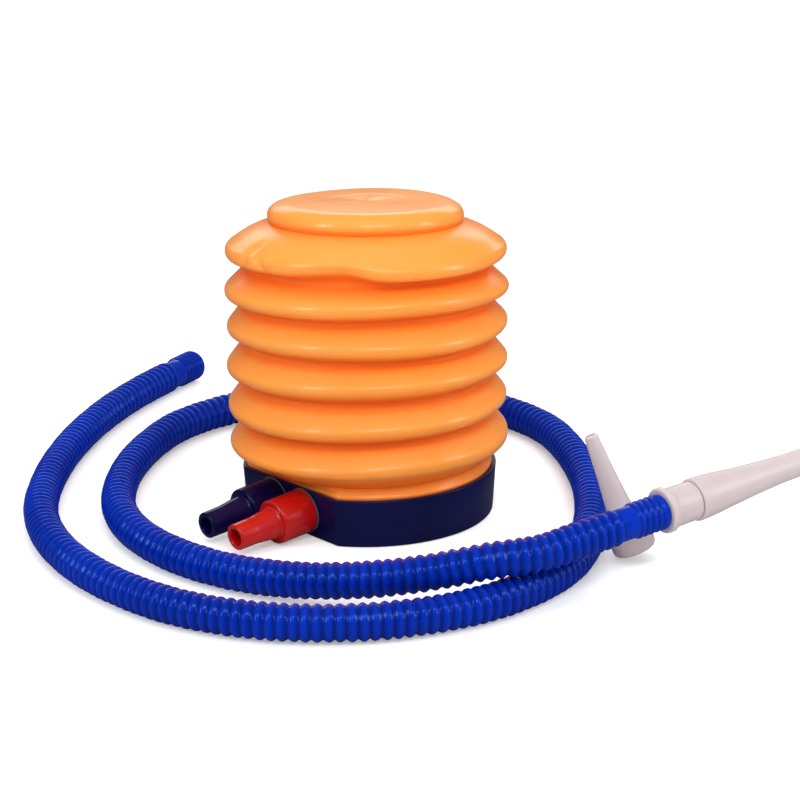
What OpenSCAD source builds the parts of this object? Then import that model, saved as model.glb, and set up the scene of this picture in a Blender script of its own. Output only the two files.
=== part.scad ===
// Bellows foot pump for balls and small inflatables.
// A pleated bellows stands on a D-shaped base tub. The flat of the tub carries
// an outlet port (at -Y) and an inlet port (at +Y), each with a check valve.
// A loose hose lies round the pump and carries a two-piece nozzle; a short
// spare nozzle stands beside it.
// Origin: centre of the bellows, on the floor. +Z up. The ports point along -X.

/* [Bellows] */
// Outside radius of the pleats
pleat_r = 63.5; // [62:0.5:65]
// Height from one pleat to the next
pleat_pitch = 17.2; // [16.6:0.1:17.6]
// Rounding radius of the tip of a pleat
pleat_tip_r = 3.4; // [3:0.1:4]
// Radius at the bottom of the folds between pleats
valley_r = 55.6; // [55:0.1:57]
// Wall thickness of the bellows
skin_t = 1.5; // [1.2:0.1:1.8]
// Number of full pleats
pleat_count = 6; // [6:1:6]

/* [Crown] */
// Widest radius of the foot pad on top
crown_r = 44; // [43:0.5:45]
// Rounding radius of the foot pad's side
crown_round_r = 5.6; // [5.2:0.1:6]
// Radius of the crease under the foot pad
neck_r = 41.4; // [41:0.1:41.8]

/* [Base tub] */
// Radius of the round part of the base
base_r = 57.5; // [57:0.5:58.5]
// Distance from the axis to the flat of the base
base_flat = 47.5; // [47:0.5:48]
// Height of the tub
base_h = 21.6; // [21.4:0.1:22]
// Corner radius where the flat meets the round part
base_corner_r = 5; // [4.5:0.1:5.5]
// Draft of the wall, which narrows towards the floor
draft = 4; // [3.5:0.1:4.2]
// Wall thickness of the tub
tub_wall = 2.2; // [2.1:0.1:2.3]

/* [Ports] */
// Distance of each port from the middle of the flat
port_y = 10.5; // [10.45:0.05:11]
// Height of a port's centre where it meets the flat
port_z = 11.8; // [11.7:0.1:11.8]
// Angle by which a port slopes down towards its tip
port_droop = 5; // [4.5:0.1:5]
// Radius of a port's collar
collar_r = 10.1; // [9.9:0.1:10.1]
// Radius of a port's tip, which the hose cuff slides over
tip_r = 5.85; // [5.8:0.01:5.9]
// Bore radius of a port's tip
tip_bore_r = 3.9; // [3.6:0.1:4.1]

/* [Hose] */
// Outside radius of the hose over its ribs
hose_r = 7.8; // [7.6:0.1:7.8]
// Inside radius of the hose
hose_bore_r = 6.3; // [6.1:0.1:6.4]
// Inside radius of the end cuffs
cuff_bore_r = 6; // [5.95:0.01:6.05]
// Length of an end cuff
cuff_len = 26; // [24:1:28]

/* [Nozzles] */
// Outside radius of the spare nozzle's foot
spare_r = 9.6; // [9.4:0.1:9.8]
// Height of the spare nozzle
spare_h = 55; // [52:1:56]
// Tip radius of the long nozzle
nozzle_tip_r = 3; // [2.8:0.1:3.2]

/* [Hidden] */
$fn = 96;

orange = [1.0, 0.62, 0.28];
navy = [0.08, 0.09, 0.30];
blue = [0.06, 0.18, 0.66];
red = [0.80, 0.12, 0.10];
milk = [0.94, 0.90, 0.85];
clear = [0.86, 0.86, 0.84];

hem_z = 18.8;                          // lowest edge of the bellows' hem
skirt_top = 26.2;                      // the pleats start here
foot_r = 53.5;                         // ring the pleats stand on
lowest_tip_z = 33.4;                   // lowest pleat tip
neck_z = lowest_tip_z + (pleat_count - 1) * pleat_pitch + 11.9; // crease under the crown
inner_r = base_r - tub_wall;           // inside of the tub at its rim
inner_flat = base_flat - tub_wall;

// How far the drafted wall has moved in at a depth below the rim.
function draft_inset(depth) = depth * tan(draft);

// ------------------------------------------------------------- D outlines

// Drafted D-shaped block with sharp corners: a cone cut by a leaning flat.
// The outline r, flat is moved in by low_inset at z0 and by top_inset at z1.
module d_sharp(r, flat, z0, z1, low_inset = 0, top_inset = 0) {
    reach = 80; // beyond the block on every side
    intersection() {
        translate([0, 0, z0])
            cylinder(r1 = r - low_inset, r2 = r - top_inset, h = z1 - z0);
        translate([0, reach, 0]) rotate([90, 0, 0]) linear_extrude(2 * reach)
            polygon([[-flat + low_inset, z0], [reach, z0],
                     [reach, z1], [-flat + top_inset, z1]]);
    }
}

function polar(r, angle) = [r * cos(angle), r * sin(angle)];

// The same block with both corners rounded by cones of radius corner_r.
module d_block(r, flat, corner_r, z0, z1, low_inset = 0, top_inset = 0) {
    centre_x = -flat + corner_r;
    centre_reach = r - corner_r;
    centre_y = sqrt(centre_reach * centre_reach - centre_x * centre_x);
    arc_angle = atan2(centre_y, centre_x); // where the corner meets the round part
    mid_angle = (180 + arc_angle) / 2;
    wedge = 14;
    overlap = 0.2; // how far each wedge starts behind the corner's centre
    difference() {
        d_sharp(r, flat, z0, z1, low_inset, top_inset);
        // wedges that take the sharp corners away
        for (s = [-1, 1])
            translate([centre_x - overlap * cos(mid_angle),
                       s * (centre_y - overlap * sin(mid_angle)), z0 - 1])
                linear_extrude(z1 - z0 + 2)
                    polygon([[0, 0], [-wedge, 0],
                             polar(1.1 * wedge, s * mid_angle),
                             polar(wedge, s * arc_angle)]);
    }
    for (s = [-1, 1])
        translate([centre_x, s * centre_y, z0])
            cylinder(r1 = corner_r - low_inset, r2 = corner_r - top_inset, h = z1 - z0);
}

// ---------------------------------------------------------------- bellows

// Point where the line from a point touches a circle. side is +1 when the
// circle lies to the left of the line and -1 when it lies to the right.
function touch(point, centre, r, side) =
    let (offset = centre - point,
         dist = norm(offset),
         angle = atan2(offset[1], offset[0]) - side * asin(r / dist))
    point + polar(sqrt(dist * dist - r * r), angle);

// Points of the pleats as [radius, z], counted from the lowest pleat.
function tip_centre(i) = [pleat_r - pleat_tip_r, lowest_tip_z + i * pleat_pitch];
function fold(i) = [valley_r, lowest_tip_z + (i - 0.5) * pleat_pitch];
function below(i) = i == 0 ? [foot_r, skirt_top] : fold(i);
function above(i) = i == pleat_count - 1 ? [neck_r, neck_z] : fold(i + 1);

// Solid half section of the pleats, out to their outer surface.
module pleat_profile() {
    polygon(concat(
        [[0, skirt_top]],
        [for (i = [0:pleat_count - 1]) each
            [below(i),
             touch(below(i), tip_centre(i), pleat_tip_r, 1),
             touch(above(i), tip_centre(i), pleat_tip_r, -1)]],
        [[neck_r, neck_z], [0, neck_z]]));
    for (i = [0:pleat_count - 1])
        translate(tip_centre(i)) circle(r = pleat_tip_r);
}

module bellows_pleats() {
    color(orange) rotate_extrude() difference() {
        pleat_profile();
        translate([-skin_t, 0]) pleat_profile();
        // openings at the foot and at the neck
        translate([-1, skirt_top - 1]) square([foot_r - skin_t + 1, 2]);
        translate([-1, neck_z - 1]) square([neck_r - skin_t + 1, 2]);
        // keeps the axis clear
        translate([-10, skirt_top - 1]) square([12, neck_z - skirt_top + 2]);
    }
}

// The foot pad: a hollow cushion-shaped cap.
module bellows_crown() {
    round_centre = [crown_r - crown_round_r, neck_z + 4.7];
    top_r = round_centre[0];
    top_h = round_centre[1] + crown_round_r - neck_z;
    color(orange) rotate_extrude() intersection() {
        translate([0, neck_z]) square([crown_r + 2, 20]);
        difference() {
            union() {
                translate([0, neck_z]) square([top_r, top_h]);
                translate(round_centre) circle(r = crown_round_r);
            }
            translate([-1, neck_z - 1]) square([top_r + 1, top_h - skin_t + 1]);
            translate(round_centre) circle(r = crown_round_r - skin_t);
            // opening at the neck
            translate([top_r - 2, neck_z - 1]) square([neck_r - skin_t - top_r + 2, 3]);
        }
    }
}

// D-shaped hem of the bellows with the flange the pleats stand on.
module bellows_skirt() {
    gap = 0.1; // to the wall of the tub
    wall = 1.6;
    corner_r = 3.4;
    flange_t = 1.3;
    r = inner_r - gap;
    flat = inner_flat - gap;
    flange_z = skirt_top - flange_t;
    color(orange) difference() {
        union() {
            d_block(r, flat, corner_r, hem_z, base_h, draft_inset(base_h - hem_z), 0);
            d_block(r, flat, corner_r, base_h, skirt_top, 0, 1);
            translate([0, 0, flange_z]) cylinder(r = foot_r + 0.5, h = flange_t);
        }
        d_sharp(r - wall, flat - wall, hem_z - 1, flange_z + 0.1);
        d_sharp(foot_r - skin_t, flat - wall, flange_z, skirt_top + 1);
    }
}

// Stiff D ring that wedges the soft hem against the wall of the tub.
module clamp_ring() {
    gap = 1.9; // to the wall of the tub
    width = 2.2;
    inset = 0.12;
    r = inner_r - gap;
    flat = inner_flat - gap;
    color(navy) difference() {
        d_block(r, flat, 2.4, hem_z + 0.05, base_h - 0.1, inset, inset);
        d_sharp(r - width, flat - width, hem_z - 1, base_h + 1);
    }
}

// --------------------------------------------------------------- base tub

module tub_shell() {
    floor_inset = draft_inset(base_h);
    difference() {
        d_block(base_r, base_flat, base_corner_r, 0, base_h, floor_inset, 0);
        d_sharp(inner_r, inner_flat, tub_wall, base_h + 0.01, floor_inset - 0.15, 0);
    }
}

// Ledge that carries the hem, left out behind the ports.
module hem_ledge() {
    ledge_t = 1.2;
    ledge_w = 4;
    ledge_z = hem_z - 0.1 - ledge_t;
    start_x = -36;
    difference() {
        intersection() {
            translate([0, 0, ledge_z]) cylinder(r = base_r - tub_wall / 2, h = ledge_t);
            d_block(base_r - 1.2, base_flat, 4.5, ledge_z, ledge_z + ledge_t);
            translate([start_x, -80, 0]) cube([160, 160, 30]);
        }
        translate([0, 0, hem_z - 2]) cylinder(r = inner_r - ledge_w, h = 4);
    }
}

// Stiffening ribs that cross on the floor of the tub.
module floor_ribs() {
    rib_t = 1.6;
    rib_h = 3;
    rib_z = tub_wall - 0.2;
    for (y = [-26, 0, 26])
        translate([-30, y - rib_t / 2, rib_z]) cube([66, rib_t, rib_h]);
    for (x = [-6, 20])
        translate([x - rib_t / 2, -38, rib_z]) cube([rib_t, 76, rib_h]);
}

module base_tub() {
    recess_depth = 0.6;
    color(navy) difference() {
        union() {
            tub_shell();
            hem_ledge();
            floor_ribs();
        }
        for (side = [outlet, inlet])
            at_port(side) translate([0, 0, -5]) cylinder(r = shank_r + 0.1, h = 7);
        // shallow recess under the floor
        translate([0, 0, -1]) cylinder(r = 40, h = recess_depth + 1);
    }
}

// ------------------------------------------------------------------ ports

// Side of the flat each port is on, along Y.
outlet = -1;
inlet = 1;
// Face of the valve seat that a flap closes, along the port.
outer_face = 1;
inner_face = -1;

shank_r = 6.5;
shank_bore_r = 5.3;
port_len = 39.2;
gasket_r = collar_r + 0.15;
gasket_z = gasket_r * sin(port_droop - draft) + 0.04; // just clear of the flat
collar_z = gasket_z + 0.75;

seat_z = -7.4;       // inner end of the valve seat
seat_h = 6.2;
hinge_x = 3.7;
hinge_lift = 0.85;   // hinge axis above the face of the seat
function seat_face(facing) = facing > 0 ? seat_z + seat_h : seat_z;

// Places children in a port's frame: +Z out along the port, +X up, Y sideways.
module at_port(side) {
    translate([-base_flat + draft_inset(base_h - port_z), side * port_y, port_z])
        rotate([0, -90 - port_droop, 0]) children();
}

// One moulded port: shank through the wall, wide collar, tapered tip that
// ends in a straight part for the hose cuff.
module port_body() {
    edge = 0.4;
    // [radius, distance along the port]
    rotate_extrude() polygon([
        // shank
        [shank_bore_r, -6], [shank_r, -6], [shank_r, collar_z],
        // collar
        [collar_r, collar_z], [collar_r - 0.15, 18], [collar_r - 0.6, 18.4],
        // tip
        [7.2, 18.4], [tip_r, 29.4], [tip_r, port_len - edge], [tip_r - edge, port_len],
        // bore
        [tip_bore_r, port_len], [tip_bore_r, 15.4], [shank_bore_r, 14]]);
}

module port_gasket() {
    bore_r = shank_r + 0.2;
    rotate_extrude() translate([bore_r, gasket_z]) square([gasket_r - bore_r, 0.7]);
}

// Bar along the hinge axis of a flap, centred across the port.
module hinge_bar(facing, r, length) {
    translate([hinge_x, length / 2, seat_face(facing) + facing * hinge_lift])
        rotate([90, 0, 0]) cylinder(r = r, h = length);
}

// Two ears that stand on the seat and hold the hinge pin.
module hinge_ears(facing) {
    ear = [1.9, 0.8, 2];
    ear_y = 2.4; // inner side of each ear
    sink = 0.3;
    face = seat_face(facing);
    intersection() {
        for (y = [-1, 1])
            translate([2.8, y > 0 ? ear_y : -ear_y - ear[1],
                       facing > 0 ? face - sink : face + sink - ear[2]])
                cube(ear);
        translate([0, 0, -12]) cylinder(r = 5.2, h = 16);
    }
}

// Valve seat pressed into the shank: a flanged plug whose bore is crossed by
// two bars.
module valve_seat(facing) {
    bar_t = 1;
    cut_z = -9;
    cut_h = 10;
    difference() {
        union() {
            translate([0, 0, seat_z]) cylinder(r = shank_r, h = 1.35);
            translate([0, 0, seat_z]) cylinder(r = shank_bore_r - 0.05, h = seat_h);
            hinge_ears(facing);
        }
        difference() {
            translate([0, 0, cut_z]) cylinder(r = 3.2, h = cut_h);
            translate([-4, -bar_t / 2, cut_z]) cube([8, bar_t, cut_h]);
            translate([-bar_t / 2, -4, cut_z]) cube([bar_t, 8, cut_h]);
        }
        hinge_bar(facing, 0.52, 8);
    }
}

// Disc with a trimmed top and notches for the ears, and a hinge knuckle.
module flap(facing) {
    flap_t = 0.55;
    gap = 0.05; // to the seat
    notch = 4;
    notch_y = 2.1;
    face = seat_face(facing);
    flap_z = facing > 0 ? face + gap : face - gap - flap_t;
    difference() {
        union() {
            difference() {
                translate([0, 0, flap_z]) cylinder(r = 4.2, h = flap_t);
                for (y = [-1, 1])
                    translate([2.3, y > 0 ? notch_y : -notch_y - notch, flap_z - 1])
                        cube([notch, notch, 3]);
                translate([3.85, -6, flap_z - 1]) cube([4, 12, 3]);
            }
            hinge_bar(facing, 0.8, 3.6);
        }
        hinge_bar(facing, 0.56, 8);
    }
}

module flap_pin(facing) { hinge_bar(facing, 0.5, 6.3); }

module outlet_port() { color(red) at_port(outlet) port_body(); }
module outlet_gasket() { color(clear) at_port(outlet) port_gasket(); }
module outlet_valve_seat() { color(milk) at_port(outlet) valve_seat(outer_face); }
module outlet_flap() { color(clear) at_port(outlet) flap(outer_face); }
module outlet_flap_pin() { color(milk) at_port(outlet) flap_pin(outer_face); }
module inlet_port() { color(navy) at_port(inlet) port_body(); }
module inlet_gasket() { color(clear) at_port(inlet) port_gasket(); }
module inlet_valve_seat() { color(milk) at_port(inlet) valve_seat(inner_face); }
module inlet_flap() { color(clear) at_port(inlet) flap(inner_face); }
module inlet_flap_pin() { color(milk) at_port(inlet) flap_pin(inner_face); }

// ------------------------------------------------------------------- hose

// The hose is laid like a walk along the floor. Each step is
// [bend radius, angle, roll]; a roll of 0 bends left, 90 bends up, -90 bends
// down, and a bend radius of 0 walks straight for the given length.
hose_start = [60, 215, 8];
hose_heading = -159;
cuff_step = [0, cuff_len, 0];
floor_lay = [
    cuff_step, [340, 13.5, 0], [390, 16.5, 0], [180, 46.5, 0],
    [112, 68, 0], [107, 51, 0], [320, 27, 0], [101, 135, 0],
    [73, 9.5, 0], [219, 25.5, 0], [123, 45, 0]];
climb = [170, 42, 18.5];
crest = [57, 20, -32];
end_lay = [[55, 18.5, 21.5], [0, 56 - cuff_len, 0]];
main_lay = concat(floor_lay, [climb, crest]);
// the coil stops a fifth of a millimetre short of the free end
split_angle = 0.19;
coil_lay = concat(floor_lay, [climb, crest - [0, split_angle, 0]]);

// Low rib over each change of bend.
rib_grow = 0.1;
rib_half_len = 0.7;

function rest_of(list) = [for (i = [1:1:len(list) - 1]) list[i]];

// Moves children to the end of a walk.
module after(steps) {
    if (len(steps) > 0) {
        bend_r = steps[0][0];
        amount = steps[0][1];
        roll = steps[0][2];
        rotate([0, roll, 0])
            translate([-bend_r, bend_r > 0 ? 0 : amount, 0])
                rotate([0, 0, bend_r > 0 ? amount : 0])
                    translate([bend_r, 0, 0])
                        rotate([0, -roll, 0])
                            after(rest_of(steps)) children();
    } else children();
}

// Sweeps the tube along a walk, with a rib at the start of every later step.
module walk(steps, first = true) {
    if (len(steps) > 0) {
        bend_r = steps[0][0];
        amount = steps[0][1];
        rotate([0, steps[0][2], 0]) {
            if (bend_r > 0)
                translate([-bend_r, 0, 0])
                    rotate_extrude(angle = amount, $fn = 240)
                        translate([bend_r, 0]) tube_section(0, $fn = 32);
            else
                rotate([-90, 0, 0]) linear_extrude(amount) tube_section(0, $fn = 32);
        }
        if (!first)
            rotate([-90, 0, 0]) translate([0, 0, -rib_half_len])
                linear_extrude(2 * rib_half_len) tube_section(rib_grow, $fn = 32);
        after([steps[0]]) walk(rest_of(steps), false);
    }
}

// Section of the tube, with its wall thickened by grow on both sides.
module tube_section(grow) {
    difference() {
        circle(r = hose_r + grow);
        circle(r = hose_bore_r - grow);
    }
}

// Frame at the mouth of the far cuff: +Y runs into the hose, +X to its right.
module at_hose() {
    translate(hose_start) rotate([0, 0, hose_heading - 90]) children();
}

// Frame at the mouth of the free end's cuff: +Y points out of the hose.
module at_hose_end() {
    at_hose() after(concat(main_lay, end_lay, [cuff_step])) children();
}

// One end cuff along +Y from its mouth: band, three rings, smooth neck, and
// a low rib where the ribbed hose begins.
module cuff() {
    band_r = 7.8;
    ring_r = 7.7;
    smooth_r = 7.0;
    ring_pitch = 2.6;
    rib_r = hose_r + rib_grow;
    rib_end = cuff_len + rib_half_len;
    // [radius, distance from the mouth]
    rotate([-90, 0, 0]) rotate_extrude() polygon(concat(
        [[cuff_bore_r, 0], [band_r - 0.4, 0], [band_r, 0.4],
         [band_r, 4.6], [smooth_r, 5.2]],
        [for (i = [0:2], point = [[smooth_r, 6], [ring_r, 6.6],
                                  [ring_r, 7.4], [smooth_r, 8]])
            point + [0, ring_pitch * i]],
        [[smooth_r, cuff_len - 2], [rib_r, cuff_len - 1], [rib_r, rib_end],
         [hose_bore_r - rib_grow, rib_end], [cuff_bore_r, cuff_len - 0.5]]));
}

module hose() {
    color(blue) at_hose() {
        cuff();
        after([cuff_step]) walk(rest_of(coil_lay));
    }
}

module hose_free_end() {
    color(blue) {
        at_hose() after(main_lay) walk(end_lay);
        at_hose_end() rotate([0, 0, 180]) cuff();
    }
}

// --------------------------------------------------------------- nozzles

// The outlines are [radius, distance along the piece]. Those of the adapter
// and the long nozzle count from the mouth of the hose's free end.

// Plug inside the cuff, rim, grip and a spigot for the long nozzle.
module nozzle_adapter() {
    color(milk) at_hose_end() rotate([-90, 0, 0]) rotate_extrude() polygon([
        [4.2, -15], [5.6, -15], [5.95, -14], [5.95, 0.1],
        [9.6, 0.1], [10, 0.5], [10, 2.7], [9.6, 3.1],
        [8.6, 3.1], [8.45, 17],
        [6.5, 17], [6.5, 27.6], [6.1, 28], [4.2, 28]]);
}

module long_nozzle() {
    color(milk) at_hose_end() rotate([-90, 0, 0]) rotate_extrude() polygon([
        // outside
        [6.55, 17.1], [9.1, 17.1], [9.4, 17.5], [9.3, 22], [8.9, 28],
        [7.9, 38], [6.8, 51], [6, 64], [5.7, 78], [5.4, 90], [4.7, 100],
        [nozzle_tip_r + 0.4, 108], [nozzle_tip_r, 110],
        [nozzle_tip_r, 119.6], [nozzle_tip_r - 0.4, 120],
        // bore, from the tip back
        [1.7, 120], [1.8, 106], [3.4, 92], [4.2, 70], [5, 45],
        [5.2, 30], [6.55, 28.4]]);
}

// The spare nozzle leans on the hose.
spare_foot = [39.8, -130.5]; // centre of its foot
spare_lean = 21.5;           // angle away from upright
spare_heading = 128;         // direction it leans in, from +X

module spare_nozzle() {
    color(milk)
        translate([spare_foot[0], spare_foot[1], spare_r * sin(spare_lean) + 0.1])
            rotate([0, 0, spare_heading]) rotate([0, spare_lean, 0])
                rotate_extrude() polygon([
                    // outside
                    [6.55, 0], [spare_r - 1.2, 0], [spare_r - 0.4, 0.4],
                    [spare_r, 1.4], [spare_r, 12.2], [spare_r - 0.5, 13.4],
                    [7.6, 15.6], [6.3, 18.6], [5.5, 22.5], [4.2, 36],
                    [3.0, spare_h - 1], [2.6, spare_h],
                    // bore, from the tip down
                    [1.7, spare_h], [2.0, 40], [3.4, 24], [4.8, 14], [6.55, 12]]);
}

bellows_crown();
bellows_pleats();
bellows_skirt();
clamp_ring();
base_tub();
outlet_port();
outlet_gasket();
outlet_valve_seat();
outlet_flap();
outlet_flap_pin();
inlet_port();
inlet_gasket();
inlet_valve_seat();
inlet_flap();
inlet_flap_pin();
hose();
hose_free_end();
nozzle_adapter();
long_nozzle();
spare_nozzle();
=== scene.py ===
# A bellows pump with a blue ribbed hose, a long nozzle on its end and a spare nozzle.
# The pump stands on the floor (z = 0) with its axis along +Z. The flat wall of its D-shaped
# tub faces -X and carries a red and a navy port. Shapes are in mm, the stage is in metres.
import math

import bpy
import bmesh
import numpy as np
from mathutils import Matrix, Vector


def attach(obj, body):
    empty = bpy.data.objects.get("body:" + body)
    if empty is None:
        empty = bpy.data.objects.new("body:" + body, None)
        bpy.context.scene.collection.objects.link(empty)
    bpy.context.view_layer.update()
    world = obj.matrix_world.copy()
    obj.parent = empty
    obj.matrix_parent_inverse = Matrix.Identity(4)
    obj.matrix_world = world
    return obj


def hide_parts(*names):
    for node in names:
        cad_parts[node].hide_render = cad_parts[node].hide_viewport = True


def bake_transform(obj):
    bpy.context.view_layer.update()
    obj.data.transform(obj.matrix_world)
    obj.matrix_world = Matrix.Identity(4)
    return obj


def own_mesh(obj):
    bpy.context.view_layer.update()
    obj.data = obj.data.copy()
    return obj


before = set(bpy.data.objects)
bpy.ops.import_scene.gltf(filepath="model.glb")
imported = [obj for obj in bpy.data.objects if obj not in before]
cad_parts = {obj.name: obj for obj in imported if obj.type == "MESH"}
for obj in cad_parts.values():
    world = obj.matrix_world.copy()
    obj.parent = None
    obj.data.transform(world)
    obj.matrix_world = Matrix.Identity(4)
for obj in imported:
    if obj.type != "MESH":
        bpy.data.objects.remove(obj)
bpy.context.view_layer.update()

MM = 0.001
rng = np.random.default_rng(11)

# ------------------------------------------------------------ driving dimensions

# pleats: radii, and the heights of the folds and tips
PLEATS, PITCH = 6, 17.2
PLEAT_R, TIP_R, VALLEY_R = 63.5, 3.4, 55.6
SKIRT_TOP, FIRST_TIP_Z = 26.2, 33.4
NECK_R, NECK_Z = 41.4, FIRST_TIP_Z + (PLEATS - 1) * PITCH + 11.9

# tub: plan radius, distance from the axis to the flat wall, height, wall draft
BASE_R, BASE_FLAT, BASE_H, DRAFT = 57.5, 47.5, 21.6, math.radians(4)
# D-shaped plans: (radius, distance to the flat, corner radius)
HEM_INSET = 2.3
TUB_PLAN = (BASE_R, BASE_FLAT, 5.0)
HEM_PLAN = (BASE_R - HEM_INSET, BASE_FLAT - HEM_INSET, 3.4)

AXIS_R = 0.5  # small hole of a lathed skin at the axis, closed by a fan

# horizontal directions seen from the camera
HEADING = math.radians(40)
AWAY = np.array([math.sin(HEADING), math.cos(HEADING), 0.0])
RIGHT = np.array([math.cos(HEADING), -math.sin(HEADING), 0.0])

# ------------------------------------------------------------ plain geometry


def rounded(corners, steps=6):
    """Outline (x, y) from corners (x, y, fillet radius)."""
    outline, count = [], len(corners)
    for i, (x, y, fillet) in enumerate(corners):
        corner = np.array([x, y], float)
        if fillet <= 0:
            outline.append(corner)
            continue
        before = np.array(corners[i - 1][:2], float) - corner
        after = np.array(corners[(i + 1) % count][:2], float) - corner
        len_before, len_after = np.linalg.norm(before), np.linalg.norm(after)
        before, after = before / len_before, after / len_after
        angle = math.acos(max(-1.0, min(1.0, float(before @ after))))
        if angle > math.pi - 0.02:  # nearly straight
            outline.append(corner)
            continue
        # the fillet takes at most 0.49 of either side
        cut = min(fillet / math.tan(angle / 2), 0.49 * len_before, 0.49 * len_after)
        radius = cut * math.tan(angle / 2)
        middle = before + after
        centre = corner + middle / np.linalg.norm(middle) * radius / math.sin(angle / 2)
        start, end = corner + before * cut - centre, corner + after * cut - centre
        start_turn = math.atan2(start[1], start[0])
        end_turn = math.atan2(end[1], end[0])
        sweep = (end_turn - start_turn + math.pi) % (2 * math.pi) - math.pi
        for k in range(steps + 1):
            turn = start_turn + sweep * k / steps
            outline.append(centre + radius * np.array([math.cos(turn), math.sin(turn)]))
    return np.array(outline)


def build(name, rings, loop=False, sharp=38, sharp_rows=()):
    """Smooth mesh from rings in mm: (rows, points round, 3).

    With loop the last row joins the first, otherwise a fan closes each end. Edges are sharp
    along sharp_rows, or, where none are given, above the angle sharp in degrees.
    """
    rings = np.asarray(rings, float) * MM
    rows, around, _ = rings.shape
    verts = rings.reshape(-1, 3)
    i = np.arange(rows if loop else rows - 1)[:, None]
    j = np.arange(around)[None, :]
    row, next_row, next_j = i * around, ((i + 1) % rows) * around, (j + 1) % around
    corners = [row + j, row + next_j, next_row + next_j, next_row + j]
    faces = np.stack(corners, axis=-1).reshape(-1, 4).tolist()
    if not loop:
        hub, last = len(verts), (rows - 1) * around
        faces += [(hub, (k + 1) % around, k) for k in range(around)]
        faces += [(hub + 1, last + k, last + (k + 1) % around) for k in range(around)]
        verts = np.vstack([verts, [rings[0].mean(0), rings[-1].mean(0)]])
    mesh = bpy.data.meshes.new(name)
    mesh.from_pydata(verts.tolist(), [], faces)
    bm = bmesh.new()
    bm.from_mesh(mesh)
    bmesh.ops.recalc_face_normals(bm, faces=bm.faces)
    for face in bm.faces:
        face.smooth = True
    if sharp_rows:
        for edge in bm.edges:
            row_a, row_b = (vert.index // around for vert in edge.verts)
            if row_a == row_b and row_a in sharp_rows:
                edge.smooth = False
    bm.to_mesh(mesh)
    bm.free()
    if not sharp_rows:
        mesh.set_sharp_from_angle(angle=math.radians(sharp))
    piece = bpy.data.objects.new(name, mesh)
    bpy.context.scene.collection.objects.link(piece)
    return piece


def lathe_rings(profile, around=96):
    """Rings about Z from a profile of (radius, z)."""
    turn = np.linspace(0, 2 * math.pi, around, endpoint=False)
    profile = np.asarray(profile, float)
    radius = profile[:, 0:1]
    return np.stack([radius * np.cos(turn), radius * np.sin(turn),
                     np.repeat(profile[:, 1:2], around, 1)], axis=-1)


def frame_at(origin, z_dir, x_dir):
    z = np.array(z_dir, float) / np.linalg.norm(z_dir)
    x = np.array(x_dir, float)
    x = x - z * (x @ z)
    x = x / np.linalg.norm(x)
    place = np.eye(4)
    place[:3] = np.column_stack([x, np.cross(z, x), z, origin])
    return place


def put(rings, place):
    return rings @ place[:3, :3].T + place[:3, 3]


def smooth(x, low, high):
    t = np.clip((x - low) / (high - low), 0, 1)
    return t * t * (3 - 2 * t)


def bell(x, centre, width):
    return np.exp(-((x - centre) / width) ** 2)


def waves(angle, counts, sizes, phases):
    return sum(size * np.sin(count * angle + phase)
               for count, size, phase in zip(counts, sizes, phases))


def polar(points):
    """Angle about Z and distance from it."""
    return np.arctan2(points[..., 1], points[..., 0]), np.hypot(points[..., 0], points[..., 1])


def view_axes(points):
    """Distance away from the viewer, and to the viewer's right."""
    x, y = points[..., 0], points[..., 1]
    return x * AWAY[0] + y * AWAY[1], x * RIGHT[0] + y * RIGHT[1]


# ------------------------------------------------------------------- materials


def srgb(*levels):
    """Linear colour from 0-255 sRGB levels."""
    parts = [level / 255 for level in levels]
    return (*(p / 12.92 if p <= 0.04045 else ((p + 0.055) / 1.055) ** 2.4 for p in parts), 1.0)


class Nodes:
    """Builds nodes in a tree. An input value may be a number, a tuple or a socket."""

    def __init__(self, tree):
        self.tree = tree

    def feed(self, socket, value):
        if hasattr(value, "is_output"):
            self.tree.links.new(value, socket)
        else:
            socket.default_value = value

    def node(self, kind, inputs=None, **props):
        node = self.tree.nodes.new("ShaderNode" + kind)
        for key, value in props.items():
            setattr(node, key, value)
        for key, value in (inputs or {}).items():
            self.feed(node.inputs[key], value)
        return node

    def scaled(self, value, by):
        return self.node("Math", {0: value, 1: by}, operation="MULTIPLY").outputs[0]

    def remap(self, value, low=0, high=1, start=0.3, end=0.7):
        """Maps start..end to low..high."""
        limits = {"Value": value, "From Min": start, "From Max": end,
                  "To Min": low, "To Max": high}
        return self.node("MapRange", limits).outputs["Result"]


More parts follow.
